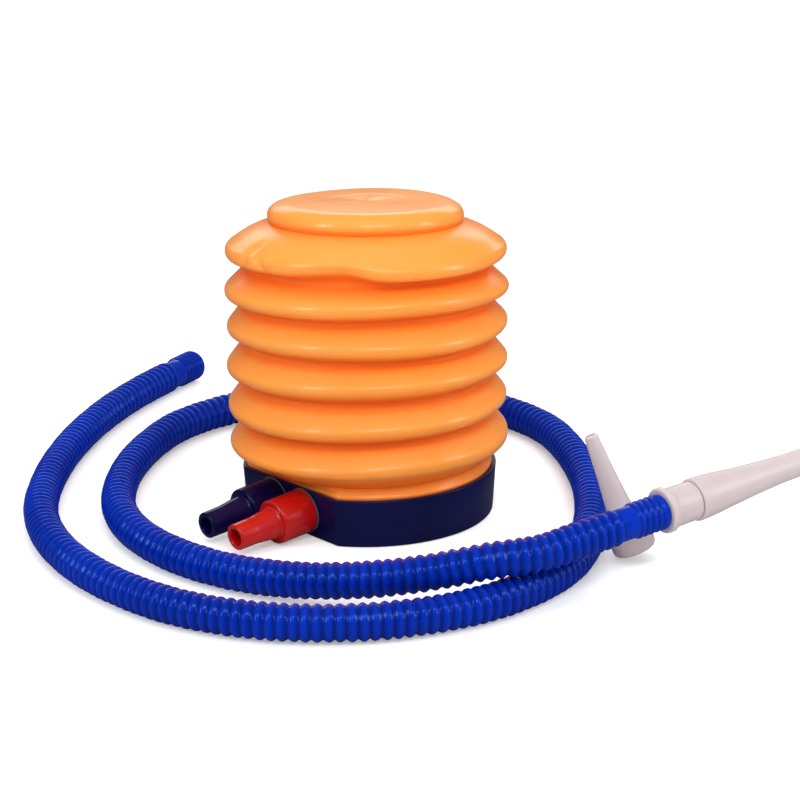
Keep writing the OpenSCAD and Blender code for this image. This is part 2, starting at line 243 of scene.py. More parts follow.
class Material(Nodes):
    def __init__(self, name):
        self.data = bpy.data.materials.new(name)
        self.data.use_nodes = True
        super().__init__(self.data.node_tree)
        self.bsdf = self.tree.nodes["Principled BSDF"]
        self.coords = self.node("TexCoord").outputs["Object"]
        self.normal = None

    def noise(self, scale, detail=3, rough=0.5, stretch=None):
        coords = self.coords
        if stretch:
            mapping = self.node("Mapping", {"Scale": stretch, "Vector": coords})
            coords = mapping.outputs["Vector"]
        inputs = {"Scale": scale, "Detail": detail, "Roughness": rough, "Vector": coords}
        return self.node("TexNoise", inputs).outputs["Fac"]

    def mix(self, factor, first, second):
        inputs = {0: factor, 6: first, 7: second}
        return self.node("Mix", inputs, data_type="RGBA").outputs[2]

    def fold(self):
        """The mesh attribute that is 1 deep in a fold, where the materials paint shade."""
        return self.node("Attribute", attribute_name="fold").outputs["Fac"]

    def bevel(self, radius):
        self.normal = self.node("Bevel", {"Radius": radius}, samples=4).outputs["Normal"]

    def bump(self, height, distance, strength):
        """Adds a bump, distance in metres, over those made before it."""
        inputs = {"Distance": distance, "Strength": strength, "Height": height}
        if self.normal is not None:
            inputs["Normal"] = self.normal
        self.normal = self.node("Bump", inputs).outputs["Normal"]
        self.set(Normal=self.normal)

    def set(self, **values):
        for key, value in values.items():
            self.feed(self.bsdf.inputs[key.replace("_", " ")], value)


def bellows_orange():
    """Soft orange, with painted shade: darker and redder in the folds."""
    mat = Material("bellows_orange")
    cloud = mat.noise(scale=14, detail=2)
    fine = mat.noise(scale=260, rough=0.6)
    flow = mat.noise(scale=30, detail=4, rough=0.55, stretch=(1, 1, 7))
    colour = mat.mix(mat.remap(cloud), srgb(255, 152, 56), srgb(255, 160, 66))
    colour = mat.mix(mat.remap(flow, high=0.35), colour, srgb(254, 147, 52))
    fold = mat.fold()
    # painted shade: the orange turns darker and redder deep in the folds
    colour = mat.mix(mat.scaled(fold, by=0.66), colour, srgb(240, 88, 16))
    mat.set(Base_Color=colour, Roughness=mat.remap(flow, low=0.30, high=0.40), IOR=1.48,
            Subsurface_Weight=0.25, Subsurface_Radius=(1.0, 0.30, 0.07), Subsurface_Scale=0.004,
            Specular_IOR_Level=mat.remap(fold, low=0.5, high=0.12, start=0.1, end=0.8),
            Coat_Weight=mat.remap(fold, low=0.34, high=0.0, start=0.1, end=0.7),
            Coat_Roughness=0.15)
    mat.bump(mat.noise(scale=22), distance=0.0008, strength=0.3)
    mat.bump(fine, distance=0.0001, strength=0.3)
    return mat.data


def glossy(name, dark, light, rough, dust, coat=0.0, spec=0.5):
    """Injection-moulded plastic: cloudy colour, uneven sheen, fine grain and specks."""
    mat = Material(name)
    cloud = mat.noise(scale=26, rough=0.55)
    sheen = mat.noise(scale=60, detail=4, rough=0.6)
    grain = mat.noise(scale=1400, detail=2)
    colour = mat.mix(mat.remap(cloud), dark, light)
    specks = mat.remap(mat.noise(scale=420, detail=4, rough=0.7), high=dust, start=0.62, end=0.8)
    colour = mat.mix(specks, colour, (0.45, 0.46, 0.5, 1))
    mat.set(Base_Color=colour, Roughness=mat.remap(sheen, *rough), IOR=1.46,
            Specular_IOR_Level=spec, Coat_Weight=coat, Coat_Roughness=0.12)
    mat.bump(mat.noise(scale=24, detail=2), distance=0.0002, strength=0.15)
    mat.bump(grain, distance=0.00002, strength=0.3)
    return mat.data


def milky(name, dark, light, sss=0.6, transmission=0.0):
    """Translucent plastic with softened edges."""
    mat = Material(name)
    cloud = mat.noise(scale=40)
    flow = mat.noise(scale=70, rough=0.55, stretch=(1, 1, 0.25))
    colour = mat.mix(mat.remap(cloud), dark, light)
    mat.set(Base_Color=colour, Roughness=mat.remap(flow, low=0.28, high=0.4), IOR=1.5,
            Subsurface_Weight=sss, Subsurface_Radius=(1.0, 0.72, 0.62), Subsurface_Scale=0.003,
            Transmission_Weight=transmission, Specular_IOR_Level=0.45)
    broad = mat.noise(scale=48, detail=2)
    fine = mat.noise(scale=700, rough=0.6)
    mat.bevel(radius=0.0004)
    mat.bump(broad, distance=0.0005, strength=0.25)
    mat.bump(fine, distance=0.00005, strength=0.3)
    return mat.data


def hose_blue():
    """Shiny blue, with painted shade: darker in the grooves and in the bore."""
    mat = Material("hose_blue")
    cloud = mat.noise(scale=18)
    colour = mat.mix(mat.remap(cloud), srgb(0, 36, 152), srgb(0, 48, 180))
    # painted shade: the blue turns dark in the grooves and the bore
    colour = mat.mix(mat.scaled(mat.fold(), by=0.7), colour, srgb(0, 12, 84))
    sheen = mat.noise(scale=90, rough=0.6)
    mat.set(Base_Color=colour, Roughness=mat.remap(sheen, low=0.17, high=0.25), IOR=1.47,
            Specular_IOR_Level=0.6, Specular_Tint=(0.22, 0.42, 1.0, 1))
    mat.bump(mat.noise(scale=60), distance=0.00015, strength=0.25)
    mat.bump(mat.noise(scale=900, rough=0.6), distance=0.00003, strength=0.3)
    return mat.data


MATS = {
    "orange": bellows_orange(),
    "navy": glossy("tub_navy", dark=srgb(2, 6, 54), light=srgb(4, 10, 70),
                   rough=(0.28, 0.36), spec=0.3, dust=0.003),
    "navy_port": glossy("port_navy", dark=srgb(2, 5, 48), light=srgb(4, 8, 60),
                        rough=(0.18, 0.26), spec=0.35, dust=0.002),
    "red": glossy("port_red", dark=srgb(178, 12, 9), light=srgb(190, 18, 13),
                  rough=(0.22, 0.3), coat=0.6, dust=0.006),
    "milk": milky("nozzle_milk", dark=srgb(197, 183, 185), light=srgb(203, 190, 191)),
    "milk_inner": milky("valve_milk", dark=srgb(232, 226, 216), light=srgb(240, 236, 228),
                        sss=0.3),
    "seal": milky("seal_clear", dark=srgb(104, 106, 126), light=srgb(126, 128, 146),
                  sss=0.1, transmission=0.5),
    "blue": hose_blue(),
}

# CAD pieces that keep their own mesh
CAD_MATS = {
    "clamp_ring": "navy", "outlet_gasket": "seal", "inlet_gasket": "seal",
    "outlet_valve_seat": "milk_inner", "inlet_valve_seat": "milk_inner",
    "outlet_flap": "seal", "inlet_flap": "seal",
    "outlet_flap_pin": "milk_inner", "inlet_flap_pin": "milk_inner",
}
for node_name, mat_name in CAD_MATS.items():
    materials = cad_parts[node_name].data.materials
    materials.clear()
    materials.append(MATS[mat_name])


def finish_piece(piece, mat, body, node):
    piece.data.materials.append(MATS[mat])
    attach(piece, body)
    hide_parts(node)


def set_fold(piece, values):
    """Writes the fold attribute; the hubs of the end fans stay 0."""
    padded = np.zeros(len(piece.data.vertices), np.float32)
    padded[:values.size] = values.ravel()
    piece.data.attributes.new("fold", "FLOAT", "POINT").data.foreach_set("value", padded)


# --------------------------------------------------------------------- bellows

# one entry per pleat, from the bottom up
TIP_RISE = (1.6, 1.4, 2.0, 2.3, 1.3, 1.7)
TIP_SHRINK = (0.4, 0.4, 0.4, 0.3, 0.1, 0.9)
VIEWER_LIFT = (0.6, 1.0, 1.4, 0.4, 1.5, 0.0)  # raises the side towards the viewer
WAVE_PHASES = rng.uniform(0, 2 * math.pi, (PLEATS, 6))

TIP_Z = [FIRST_TIP_Z + i * PITCH + rise for i, rise in enumerate(TIP_RISE)]
TOP_TIP_Z = TIP_Z[-1]
# the folds sit above the middle between two tips; the last one is at the neck
FOOT_R, LAST_FOLD_R = 53.5, NECK_R + 2.2
FOLD_R = [FOOT_R] + [VALLEY_R - depth for depth in (0.6, 0.8, 0.9, 1.2, 3.2)] + [LAST_FOLD_R]
FOLD_Z = [SKIRT_TOP] + [(TIP_Z[i - 1] + TIP_Z[i]) / 2 + 2.4 for i in range(1, PLEATS)]
FOLD_Z.append(NECK_Z + 1.5)

# creases of the top pleat on the viewer's left: azimuth and width in degrees,
# height above the tip, half height, slant in degrees per mm, depth
CREASES = [
    (-58, 2.6, 2.0, 5.0, 0.5, 1.3),
    (-49, 2.2, 1.5, 4.5, -0.9, 1.1),
    (-53, 2.4, 1.5, 4.5, 0.2, -0.5),
    (-40, 3.0, 0.5, 4.0, 1.2, 0.7),
]


def soft_shape(points):
    """The slouch of the soft bellows, from points on the upright shape."""
    max_lean = 4.2  # degrees
    z = points[..., 2]
    height = np.clip((z - SKIRT_TOP) / (NECK_Z - SKIRT_TOP), 0, 1)
    back, side = view_axes(points)
    lean = np.radians(max_lean) * height
    roll = np.radians(1.9) * smooth(height, 0, 0.12) - np.radians(2.6) * height
    above = np.clip(z - NECK_Z, 0, None)
    shift_back = 3.8 * height * height + above * math.sin(math.radians(max_lean))
    shift_side = -0.35 * np.sin(height * math.pi) + 0.1 * height
    shaped = points.copy()
    shaped[..., 2] = z - back * np.sin(lean) + side * np.sin(roll)
    for axis in (0, 1):
        shaped[..., axis] += AWAY[axis] * shift_back + RIGHT[axis] * shift_side
    return shaped


def tangent_point(point, centre, radius, side):
    """Where a line from point touches a circle, on the side +1 or -1."""
    dx, dy = centre[0] - point[0], centre[1] - point[1]
    distance = np.linalg.norm([dx, dy])
    angle = math.atan2(dy, dx) - side * math.asin(radius / distance)
    reach = math.sqrt(distance * distance - radius * radius)
    return (point[0] + reach * math.cos(angle), point[1] + reach * math.sin(angle))


def pleat_profile():
    points = [(AXIS_R, SKIRT_TOP, 0), (FOOT_R, SKIRT_TOP, 0)]
    folds = list(zip(FOLD_R, FOLD_Z))
    bulge = 0.12
    for i in range(PLEATS):
        centre = (PLEAT_R - TIP_R, TIP_Z[i])
        low, high = folds[i], folds[i + 1]
        start = tangent_point(low, centre, TIP_R, 1)
        end = tangent_point(high, centre, TIP_R, -1)
        start_turn = math.atan2(start[1] - centre[1], start[0] - centre[0])
        end_turn = math.atan2(end[1] - centre[1], end[0] - centre[0])
        if i:
            points.append((low[0] - 0.25, low[1], 2.2))
        # a slightly full lower flank, then the rounded tip
        points.append((low[0] + (start[0] - low[0]) * 0.62 + bulge,
                       low[1] + (start[1] - low[1]) * 0.62 - bulge, 0))
        for k in range(15):
            turn = start_turn + (end_turn - start_turn) * k / 14
            points.append((centre[0] + TIP_R * math.cos(turn),
                           centre[1] + TIP_R * math.sin(turn), 0))
        # the upper flank; the top pleat has a longer, fuller one
        steps, rise = (7, 0.9) if i == PLEATS - 1 else (1, 0.18)
        for k in range(1, steps + 1):
            t = k / (steps + 1)
            fullness = math.sin(t * math.pi)
            points.append((end[0] + (high[0] - end[0]) * t + bulge * fullness,
                           end[1] + (high[1] - end[1]) * t + rise * fullness, 0))
    points += [(LAST_FOLD_R, NECK_Z + 1.5, 0.6), (NECK_R + 0.3, NECK_Z + 1.6, 0),
               (NECK_R - 0.4, NECK_Z - 0.2, 0), (AXIS_R, NECK_Z - 0.2, 0)]
    return rounded(points)


def dent(around, height, width, tall, slant=0.0):
    return np.exp(-((around - slant * height) / width) ** 2 - (height / tall) ** 2)


def warp_pleats(rings):
    """Makes the pleats uneven, creased and dimpled, in place."""
    angle, radius = polar(rings)
    z = rings[..., 2]
    back, right = view_axes(rings)
    azimuth = np.degrees(np.arctan2(right, -back))  # 0 faces the viewer, + to the right
    facing = np.clip(np.cos(np.radians(azimuth)), 0, 1) ** 2
    grow, lift = np.zeros_like(radius), np.zeros_like(radius)

    # uneven waves of each pleat
    for i, phases in enumerate(WAVE_PHASES):
        weight = smooth(1 - np.abs(z - TIP_Z[i]) / (PITCH * 0.62), 0, 1)
        grow += weight * waves(angle, (2, 3, 7), (0.34, 0.22, 0.07), phases[:3])
        grow -= weight * TIP_SHRINK[i]
        lift += weight * facing * VIEWER_LIFT[i]
        if i == PLEATS - 1:  # the top pleat droops at the front, more to the right
            spread = np.clip(np.cos(np.radians(azimuth * 0.9)), 0, 1)
            lift -= weight * 2.6 * smooth(azimuth, -13, 15) * spread
        lift += weight * waves(angle, (2, 3, 6), (0.42, 0.26, 0.08), phases[3:])

    # short creases in the top pleat
    outer = smooth(radius, 50, 58)
    grow -= outer * sum(
        depth * dent(azimuth - around, z - (TOP_TIP_Z + above), width, tall, slant)
        for around, width, above, tall, slant, depth in CREASES)
    # the pressed-in stretch at the front of the top pleat
    pressed = smooth(azimuth, -36, -10) * (1 - smooth(azimuth, -9, 7))
    grow -= pressed * 2.0 * bell(z, TOP_TIP_Z - 1.5, 4.0) * outer
    lift += pressed * 1.5 * bell(z, TOP_TIP_Z - 2.5, 3.5) * outer
    # small random dimples on all pleats
    for _ in range(16):
        i = rng.integers(0, PLEATS)
        around = rng.uniform(-180, 180)
        height = FIRST_TIP_Z + i * PITCH + rng.uniform(-3, 3)
        depth = 0.22 * rng.uniform(0.5, 1.3)
        width = rng.uniform(3, 8)
        apart = (azimuth - around + 180) % 360 - 180
        grow -= depth * dent(apart, z - height, width, tall=3.0) * outer

    # both ends stay true
    fade = smooth(z, SKIRT_TOP, SKIRT_TOP + 3) * (1 - smooth(z, NECK_Z - 5, NECK_Z - 0.5))
    rings[..., :2] *= ((radius + grow * fade) / np.maximum(radius, 1e-6))[..., None]
    rings[..., 2] += lift * fade


def pleat_folds(z, lobe):
    """Fold shade: lobe runs from 0 in a valley to 1 at a tip."""
    under = np.zeros(z.shape, bool)
    for low, tip in zip(FOLD_Z, TIP_Z):
        under |= (z >= low) & (z < tip)
    fold = np.where(under, 1 - smooth(lobe, 0.45, 0.98), 1 - smooth(lobe, 0.0, 0.55))
    fold = fold * (1 - smooth(z, TOP_TIP_Z - 1.0, TOP_TIP_Z + 2.0))
    # painted shade also where the top slope runs in under the crown
    return np.maximum(fold, 0.45 * smooth(z, NECK_Z - 1.5, NECK_Z + 1.2))


def pleats():
    rings = lathe_rings(pleat_profile(), around=320)
    lobe = np.clip((polar(rings)[1] - VALLEY_R) / (PLEAT_R - VALLEY_R), 0, 1)
    warp_pleats(rings)
    piece = build("bellows_pleats_skin", soft_shape(rings))
    set_fold(piece, pleat_folds(rings[..., 2], lobe))
    finish_piece(piece, "orange", "base", "bellows_pleats")
    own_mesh(piece)


def crown():
    points = [(AXIS_R, NECK_Z - 2.8, 0), (40.8, NECK_Z - 2.8, 0.4), (41.6, NECK_Z - 0.6, 0.5),
              (42.2, NECK_Z + 0.9, 0.8), (42.9, NECK_Z + 2.2, 1.2), (43.7, NECK_Z + 3.4, 1.5)]
    # rounded side that runs into a slightly domed top
    top_r = 33.0
    for k in range(21):
        turn = math.radians(90 * k / 20)
        points.append((top_r + 11.0 * math.cos(turn) ** 0.85,
                       NECK_Z + 4.2 + 6.3 * math.sin(turn) ** 0.9, 0))
    for x in list(np.arange(32.0, 4.0, -0.75)) + [3.0, 1.5, AXIS_R]:
        points.append((x, NECK_Z + 10.5 + 0.7 * (1 - (x / top_r) ** 2), 0))
    rings = lathe_rings(rounded(points, steps=5), around=256)
    angle, _ = polar(rings)
    back, right = view_axes(rings)
    z = rings[..., 2]  # a view: it follows the changes below
    # an oval groove round a shallow hollow on top
    top = smooth(z, NECK_Z + 9.6, NECK_Z + 10.1)
    oval = np.hypot(right / 17.0, (2 - back) / 12.5)
    z += top * (-0.16 * bell(oval, 1, 0.10) - 0.55 * bell(oval, 0, 0.95))
    # the side is slightly out of round
    side = smooth(z, NECK_Z + 1, NECK_Z + 5)
    swell = 1 + side * waves(angle, (2, 3, 8), (0.004, 0.0025, 0.001), (0.6, 2.0, 0))
    rings[..., :2] *= swell[..., None]
    z += side * waves(angle, (2, 3), (0.22, 0.12), (1.1, 0))
    piece = build("bellows_crown_skin", soft_shape(rings), sharp=60)
    # painted shade on the lower part of the crown's side, down at the crease
    set_fold(piece, 0.5 * (1 - smooth(z, NECK_Z + 1.0, NECK_Z + 4.5)))
    finish_piece(piece, "orange", "crown", "bellows_crown")


# ------------------------------------------------------------- D-shaped rings


def arc(x, y, radius, start, end, count):
    turn = np.linspace(start, end, count, endpoint=False)
    return np.column_stack([x + radius * np.cos(turn), y + radius * np.sin(turn)])


def d_ring(inset, z, plan=TUB_PLAN):
    """D-shaped ring with its flat towards -X."""
    radius, flat = plan[0] - inset, plan[1] - inset
    corner = max(plan[2] - inset, 1.2)
    x = corner - flat
    y = math.sqrt((radius - corner) ** 2 - x * x)
    turn = math.atan2(y, x)
    along = np.linspace(y, -y, 40, endpoint=False)
    outline = np.vstack([
        arc(0, 0, radius, -turn, turn, 150),
        arc(x, y, corner, turn, math.pi, 10),
        np.column_stack([np.full(len(along), -flat), along]),
        arc(x, -y, corner, math.pi, 2 * math.pi - turn, 10),
    ])
    return np.column_stack([outline, np.full(len(outline), z)])


def circle_ring(angle, radius, z):
    return np.column_stack([radius * np.cos(angle), radius * np.sin(angle),
                            np.full(len(angle), z)])


# (z, inset, share of the circle, radius of the circle where it isn't the usual one):
# the hem, a soft bead just above the tub's rim, the rising shoulder, the turned-in top
SKIRT_ROWS = [
    (19.0, 3.0, 0), (18.9, 0.9, 0), (19.3, 0.35, 0), (20.4, 0.1, 0), (21.5, 0.0, 0),
    (21.9, -0.25, 0), (22.3, -0.42, 0.01), (22.8, -0.35, 0.03), (23.2, -0.05, 0.08),
    (23.7, 0.15, 0.17), (24.3, 0.2, 0.32), (24.9, 0.2, 0.5), (25.5, 0.2, 0.7),
    (26.0, 0.2, 0.86), (26.4, 0.2, 0.96), (26.7, 0.2, 1.0),
    (26.9, 0.2, 1.0, 53.2), (26.6, 0.2, 1.0, 50.0),
]


def skirt():
    """D-shaped hem that turns into the round foot of the pleats."""
    angle, _ = polar(d_ring(0, 0, HEM_PLAN))

    def row(z, inset, blend, radius=53.9):
        hem = d_ring(inset, z, HEM_PLAN)
        return hem * (1 - blend) + circle_ring(angle, radius, z) * blend

    rings = np.array([row(*entry) for entry in SKIRT_ROWS])
    piece = build("bellows_skirt_skin", rings, sharp=50)
    # painted shade over the skirt, deepest where it runs in under the lowest pleat
    set_fold(piece, 0.35 + 0.5 * smooth(rings[..., 2], 24.0, 26.2))
    finish_piece(piece, "orange", "base", "bellows_skirt")


# --------------------------------------------------------------- tub and ports

PORT_Y, PORT_Z, PORT_DROOP = 10.5, 11.8, math.radians(5)
PORT_HOLE_R = 6.7


def wall_inset(z):
    """How far the drafted wall has drawn in below the rim."""
    return (BASE_H - z) * math.tan(DRAFT)


def port_place(side):
    """Frame on the flat wall, z outwards along the sloping axis of the port at side * Y."""
    outwards = (-math.cos(PORT_DROOP), 0, -math.sin(PORT_DROOP))
    up = (-math.sin(PORT_DROOP), 0, math.cos(PORT_DROOP))
    return frame_at((-BASE_FLAT + wall_inset(PORT_Z), side * PORT_Y, PORT_Z), outwards, up)


def drill(piece, place, radius, start, end):
    profile = [(0.05, start), (radius, start), (radius, end), (0.05, end)]
    cutter = build("drill", put(lathe_rings(profile, around=64), place))
    mod = piece.modifiers.new("drill", "BOOLEAN")
    mod.operation, mod.solver, mod.object = "DIFFERENCE", "EXACT", cutter
    bpy.context.view_layer.update()
    evaluated = piece.evaluated_get(bpy.context.evaluated_depsgraph_get())
    mesh = bpy.data.meshes.new_from_object(evaluated)
    piece.modifiers.remove(mod)
    piece.data = mesh
    bpy.data.objects.remove(cutter, do_unlink=True)


def tub():
    angle, _ = polar(d_ring(0, 0))
    # round recess in the underside: (radius, z)
    recess = [(20, 0.6), (39.4, 0.6), (39.9, 0.5), (40.0, 0.12), (40.2, 0.0), (41.5, 0.0)]
    rings = [circle_ring(angle, radius, z) for radius, z in recess]
    foot = wall_inset(0)
    rings += [d_ring(foot + 2.5, 0.0), d_ring(foot + 1.0, 0.0)]
    quarter = [math.radians(90 * k / 5) for k in range(6)]
    edge_r, rim_r, lip_r = 0.75, 0.55, 0.35
    for turn in quarter:  # rounded lower edge
        rings.append(d_ring(foot + edge_r - edge_r * math.sin(turn),
                            edge_r - edge_r * math.cos(turn)))
    for z in (1.6, 3.4, 7.0, 11.0, 15.0, 18.5, 20.2):
        rings.append(d_ring(wall_inset(z), z))
    for turn in quarter:  # outer edge of the rim
        rings.append(d_ring(rim_r - rim_r * math.cos(turn),
                            BASE_H - rim_r + rim_r * math.sin(turn)))
    for k in range(5):  # inner edge of the rim
        turn = math.radians(90 * k / 4)
        rings.append(d_ring(1.85 + lip_r * math.sin(turn),
                            BASE_H - lip_r + lip_r * math.cos(turn)))
    # inside wall down to the floor: (inset, z)
    rings += [d_ring(*row) for row in ((2.25, 19.5), (2.9, 8.0), (3.3, 2.6), (4.2, 2.2))]
    rings.append(circle_ring(angle, 30, 2.2))
    piece = build("base_tub_shell", rings, sharp=50)
    for side in (1, -1):
        drill(piece, port_place(side), PORT_HOLE_R, start=-9, end=3)
    finish_piece(piece, "navy", "base", "base_tub")


def port(name, side, mat, node):
    # the flange stands off the wall, which is not quite square to the port's axis
    flange = 10.25 * math.sin(PORT_DROOP - DRAFT) + 0.79
    # (radius, distance along the axis, fillet): shank, flange, collar, spout, bore
    profile = rounded([
        (5.3, -6, 0), (6.5, -6, 0.2), (6.5, flange, 0), (10.1, flange, 0.35),
        (9.95, 18.4, 1.0), (7.45, 18.4, 0.7), (7.15, 19.2, 0.6), (6.0, 29.4, 14),
        (5.88, 39.2, 0.55), (3.9, 39.2, 0.5), (3.9, 15.4, 0), (5.3, 14, 0)])
    rings = lathe_rings(profile, around=112)
    angle, radius = polar(rings)
    along = rings[..., 2]
    # the mould's parting line runs along both sides
    line = bell(np.abs(angle), math.pi / 2, 0.035)
    line = line * (radius > 5.6) * (along > 1.2) * (along < 38.5)
    rings[..., :2] *= (1 + 0.08 * line / np.maximum(radius, 1))[..., None]
    piece = build(name, put(rings, port_place(side)), loop=True, sharp=40)
    finish_piece(piece, mat, "base", node)


# ------------------------------------------------------------------------ hose

CUFF, CUFF_OVERLAP = 26.0, 2.2
# the run of the hose from its far end: (bend radius, degrees, roll), or (0, length, roll)
MAIN_LAY = [
    (0, CUFF, 0), (340, 13.5, 0), (390, 16.5, 0), (180, 46.5, 0), (112, 68, 0),
    (107, 51, 0), (320, 27, 0), (101, 135, 0), (73, 9.5, 0), (219, 25.5, 0),
    (123, 45, 0), (170, 42, 18.5), (57, 20, -32),
]
END_LAY = [(55, 18.5, 21.5), (0, 30.0, 0), (0, CUFF, 0)]
RIB, RIDGE_R, GROOVE_R, HOLE_R = 4.6, 7.9, 6.75, 6.15
HOSE_AROUND = 36
BEND_RIBS = 8

# outside of a cuff, (distance from the mouth, radius): lip, four rings, smooth part
CUFF_OUTLINE = [(0.0, 7.35), (0.35, 7.72), (0.8, 7.82), (2.4, 7.78), (3.0, 7.15), (3.4, 7.0)]
for centre in (5.0 + 3.1 * i for i in range(4)):
    CUFF_OUTLINE += [(centre - 1.1, 7.02), (centre - 0.55, 7.55), (centre, 7.85),
                     (centre + 0.55, 7.55), (centre + 1.1, 7.02)]
CUFF_OUTLINE += [(16.2, 6.97), (CUFF - 2.6, 6.97)]


def turn_y(degrees):
    c, s = math.cos(math.radians(degrees)), math.sin(math.radians(degrees))
    return np.array([[c, 0, s], [0, 1, 0], [-s, 0, c]])


def turn_z(degrees):
    c, s = math.cos(math.radians(degrees)), math.sin(math.radians(degrees))
    return np.array([[c, -s, 0], [s, c, 0], [0, 0, 1]])


def advance(point, axes, radius, roll, distance):
    """Point and axes after a distance along one segment; y runs along the hose."""
    if radius > 0:
        turn = distance / radius
        step = np.array([-radius + radius * math.cos(turn), radius * math.sin(turn), 0])
        return point + axes @ step, axes @ turn_z(math.degrees(turn)) @ turn_y(-roll)
    return point + axes @ np.array([0, distance, 0]), axes @ turn_y(-roll)


class HosePath:
    """Centre line of the hose, with a point and axes at any length along it."""

    def __init__(self):
        axes, point, start = turn_z(-159 - 90), np.array([60.0, 215.0, 8.0]), 0.0
        self.segments = []
        for radius, amount, roll in MAIN_LAY + END_LAY:
            length = radius * math.radians(amount) if radius > 0 else amount
            segment = (point, axes @ turn_y(roll), radius, roll)
            self.segments.append((start, length, segment))
            point, axes = advance(*segment, length)
            start += length
        self.total = start
        self.split = self.segments[len(MAIN_LAY)][0]

    def at(self, along):
        for start, length, segment in self.segments:
            if along <= start + length + 1e-9:
                break
        return advance(*segment, along - start)


PATH = HosePath()


def rib_rows(start, end, ribs):
    """Rows (along, radius, fold) for whole ribs between two grooves; fold is the painted shade,
    full in the grooves.
    """
    rows = []
    step = (end - start) / ribs
    for i in range(ribs):
        # slightly uneven ribs
        size = 1.0 + 0.05 * math.sin(i * 1.7) + 0.04 * math.sin(i * 0.61)
        shift = 0.035 * math.sin(i * 2.3)
        for t in (0.0, 0.13, 0.24, 0.33, 0.41, 0.5, 0.59, 0.67, 0.76, 0.87):
            hump = math.sin(math.pi * t) ** 1.3
            rows.append((start + (i + t + shift * math.sin(math.pi * t)) * step,
                         GROOVE_R + (RIDGE_R - GROOVE_R) * min(hump * size, 1.04), 1 - hump))
    rows.append((end, GROOVE_R, 1.0))
    return rows


def bore(start, end):
    """Rows (along, radius) of the plain bore, from end back to start."""
    count = max(2, int((end - start) / 6))
    return [(along, HOLE_R) for along in np.linspace(start, end, count)][::-1]


def sweep_hose(name, outer, inner):
    """Tube along the path: outer rows (along, radius, fold), inner rows (along, radius)."""
    turn = np.linspace(0, 2 * math.pi, HOSE_AROUND, endpoint=False)
    rings, fold = [], []
    # the bore rows carry full painted shade
    for along, radius, shade in outer + [(along, radius, 1.0) for along, radius in inner]:
        point, axes = PATH.at(along)
        wobble = 1 + 0.004 * np.sin(3 * turn + along * 0.05)
        rings.append(point + np.outer(np.cos(turn) * radius * wobble, axes[:, 0])
                     + np.outer(np.sin(turn) * radius * wobble, axes[:, 2]))
        fold.append(np.full(HOSE_AROUND, shade))
    count = len(outer)
    piece = build(name, rings, loop=True, sharp_rows=(0, count - 1, count, len(rings) - 1))
    set_fold(piece, np.concatenate(fold))
    return piece


def hose():
    """Coil, a blended stretch of ribs, and the free end."""
    total = PATH.total
    bend_start = PATH.split - BEND_RIBS / 2 * RIB
    bend_end = PATH.split + BEND_RIBS / 2 * RIB
    ribs_start = CUFF - CUFF_OVERLAP
    ribs_end = total - ribs_start
    # painted shade: strong in the cuff's grooves, light over the rest of the cuff
    far_cuff = [(along, radius, 0.8 if radius < 7.1 and along < 16 else 0.15)
                for along, radius in CUFF_OUTLINE]
    near_cuff = [(total - along, radius, fold) for along, radius, fold in far_cuff][::-1]
    mouth_r, throat_r, throat = 6.35, 5.98, 0.35

    ribs = int(round((bend_start - ribs_start) / RIB))
    coil = sweep_hose("hose_coil_skin", far_cuff + rib_rows(ribs_start, bend_start, ribs),
                      bore(0.0, bend_start)[:-1] + [(throat, throat_r), (0.0, mouth_r)])
    finish_piece(coil, "blue", "hose_coil", "hose")

    bend = sweep_hose("hose_bend_skin", rib_rows(bend_start, bend_end, BEND_RIBS),
                      bore(bend_start, bend_end))

    ribs = int(round((ribs_end - bend_end) / RIB))
    mouth = [(total, mouth_r), (total - throat, throat_r)]
    tip = sweep_hose("hose_end_skin", rib_rows(bend_end, ribs_end, ribs) + near_cuff,
                     mouth + bore(bend_end, total)[1:])
    finish_piece(tip, "blue", "hose_end", "hose_free_end")

    bend.data.materials.append(MATS["blue"])
    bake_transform(bend)


# --------------------------------------------------------------------- nozzles

# profiles: (radius, distance along the axis, fillet)
# plug, flange in two steps, body, spigot
ADAPTER = [
    (4.2, -15, 0.2), (5.6, -15, 0.3), (5.95, -14, 0.3), (5.95, 0.1, 0), (9.3, 0.1, 0.5),
    (9.95, 0.7, 0.5), (9.95, 2.7, 0.6), (9.5, 3.3, 0.5), (9.3, 4.1, 0.5), (8.65, 4.4, 0.35),
    (8.5, 16.3, 0.4), (8.2, 17, 0.3), (6.5, 17, 0), (6.5, 27.6, 0.3), (6.1, 28, 0.2),
    (4.2, 28, 0.2),
]
# outside from the foot to the tip, then back down the bore
LONG_NOZZLE = [
    (6.55, 17.2, 0.2), (8.9, 17.2, 0.5), (9.42, 17.9, 0.6), (9.3, 22, 20), (8.9, 28, 40),
    (7.9, 38, 60), (6.8, 51, 80), (6.0, 64, 80), (5.7, 78, 60), (5.4, 90, 30), (4.7, 100, 8),
    (3.4, 108, 3), (3.0, 110, 2), (3.0, 120, 0.6), (1.7, 120, 0.3), (1.8, 106, 0),
    (3.4, 92, 0), (4.2, 70, 0), (5.0, 45, 0), (5.2, 30, 0), (6.55, 28.4, 0),
]
SPARE_R = 9.6
SPARE_NOZZLE = [
    (6.55, 0.2, 0.3), (8.2, 0.15, 0.8), (9.3, 1.3, 1.2), (SPARE_R, 3.0, 2),
    (SPARE_R, 12.2, 1.2), (9.1, 13.6, 1.2), (7.6, 15.6, 1.5), (6.3, 18.6, 3), (5.5, 22.5, 12),
    (4.2, 36, 30), (3.0, 54.2, 0.8), (2.5, 55, 0.4), (1.7, 55, 0.3), (2.0, 40, 0),
    (3.4, 24, 0), (4.8, 14, 0), (6.55, 12, 0),
]


def milky_piece(node, body, rings, place):
    piece = build(node + "_skin", put(rings, place), loop=True, sharp=42)
    finish_piece(piece, "milk", body, node)


